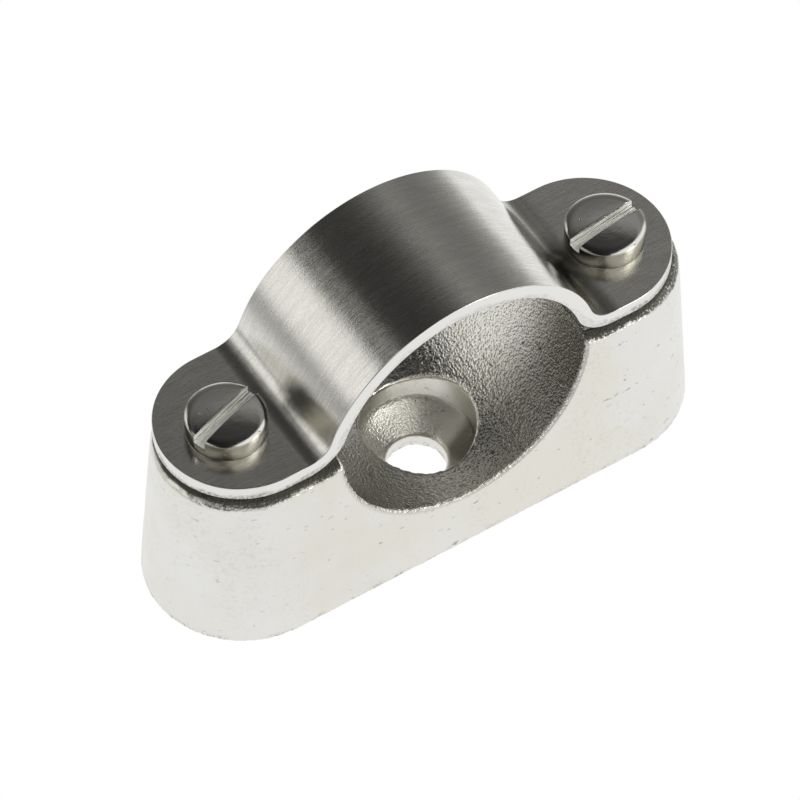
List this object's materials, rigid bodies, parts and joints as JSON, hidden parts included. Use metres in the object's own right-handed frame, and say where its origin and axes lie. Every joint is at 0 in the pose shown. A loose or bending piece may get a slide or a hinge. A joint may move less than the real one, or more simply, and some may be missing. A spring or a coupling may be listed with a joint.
{
  "type": "saddle clamp",
  "caption": "Spacer saddle clamp for conduit: a cast base with a half-round seat and countersunk fixing hole, and a bent strap held by slotted screws.",
  "frame": {"origin": "centre of the base's flat underside, which lies on the wall or floor", "axes": "+X runs along the clamp from the left screw to the right one, +Y along the conduit, +Z out of the wall through the arch"},
  "size_m": [0.0554, 0.0184, 0.0319],
  "materials": {
    "cast_metal": "satin",
    "strap_steel": "satin",
    "screw_steel": "polished"
  },
  "bodies": {
    "base": {"base": "cast_metal"},
    "strap": {"strap": "strap_steel"},
    "left_screw": {"left_screw": "screw_steel"},
    "right_screw": {"right_screw": "screw_steel"}
  },
  "joints": [
    {"name": "strap_lift", "type": "slide", "parent": "base", "child": "strap", "axis": [0, 0, 1], "range_m": [0, 0.0105]},
    {"name": "left_screw_turn", "type": "hinge", "parent": "strap", "child": "left_screw", "pos_m": [-0.01981, 0, 0.0204], "axis": [0, 0, 1], "range_deg": [0, 5400]},
    {"name": "right_screw_turn", "type": "hinge", "parent": "strap", "child": "right_screw", "pos_m": [0.01981, 0, 0.0204], "axis": [0, 0, 1], "range_deg": [0, 5400]}
  ],
  "couplings": [
    {"joint": "left_screw_turn", "follows": "strap_lift", "rad_per_m": 8976},
    {"joint": "right_screw_turn", "follows": "strap_lift", "rad_per_m": 8976}
  ]
}
